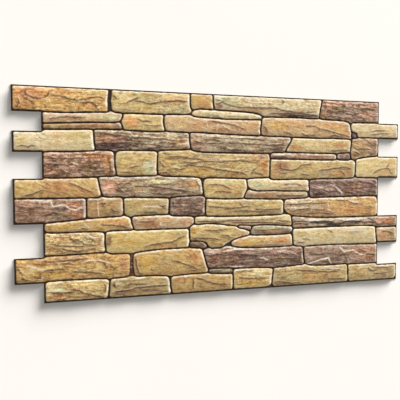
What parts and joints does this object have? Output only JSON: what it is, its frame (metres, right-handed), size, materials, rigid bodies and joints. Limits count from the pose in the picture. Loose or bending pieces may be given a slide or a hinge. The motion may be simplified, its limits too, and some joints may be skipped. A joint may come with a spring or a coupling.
{
  "type": "faux stone wall panel",
  "caption": "Thin formed plastic wall panel with a ledge-stone relief, hollow at the back, whose stepped ends interlock with its neighbours.",
  "frame": {"origin": "under the middle of the panel, at the back of the joints, which is the plane that lies against the wall", "axes": "+X along the courses of stone, from the left end to the right; +Y towards the top course; +Z out of the stone face"},
  "size_m": [0.98, 0.48, 0.0044],
  "materials": {
    "printed_sheet": "printed matt stone colours, pale worn rims and dark joints"
  },
  "bodies": {
    "root": {"wall_panel": "printed_sheet"}
  },
  "joints": []
}
